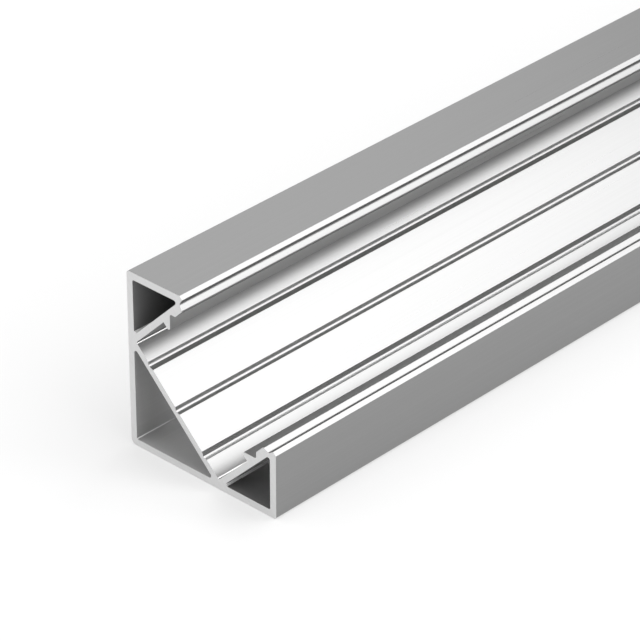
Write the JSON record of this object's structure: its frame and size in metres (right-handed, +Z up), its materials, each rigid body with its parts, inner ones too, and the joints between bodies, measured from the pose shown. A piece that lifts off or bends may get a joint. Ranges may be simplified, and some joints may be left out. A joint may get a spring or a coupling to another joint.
{
  "type": "corner led strip profile",
  "caption": "Straight extruded aluminium bar for an inside corner, with flat outer faces, closed chambers, and a slanted channel for LED strips with hooks for a snap-in cover.",
  "frame": {"origin": "centre of the base face, half way along the bar", "axes": "+Y along the bar, +Z up from the base face, +X from the heel corner towards the open side"},
  "size_m": [0.03, 1, 0.03],
  "materials": {
    "anodised_aluminium": "natural anodised, satin, with fine die lines along the length and plain sawn ends"
  },
  "bodies": {
    "root": {"led_profile": "anodised_aluminium"}
  },
  "joints": []
}
